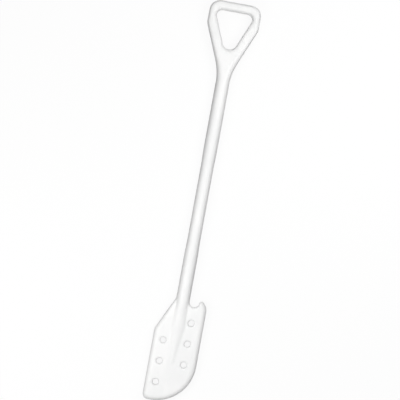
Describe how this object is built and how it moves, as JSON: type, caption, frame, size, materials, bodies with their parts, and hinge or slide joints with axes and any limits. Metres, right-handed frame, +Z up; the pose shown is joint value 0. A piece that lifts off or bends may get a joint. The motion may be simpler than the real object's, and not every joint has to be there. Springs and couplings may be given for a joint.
{
  "type": "stirring paddle",
  "caption": "One-piece white plastic stirring paddle: slanted blade with round flow holes and a rim hook, long round shaft, closed fork-shaped grip.",
  "frame": {"origin": "centre of the paddle's outline at the lowest line of the shaft, which lies on the floor", "axes": "+Y along the shaft from the blade to the grip, +X across the blade towards the hook, +Z up, square to the blade's faces"},
  "size_m": [0.1138, 0.89, 0.0304],
  "materials": {
    "white_plastic": "satin"
  },
  "bodies": {
    "root": {"stirring_paddle": "white_plastic"}
  },
  "joints": []
}
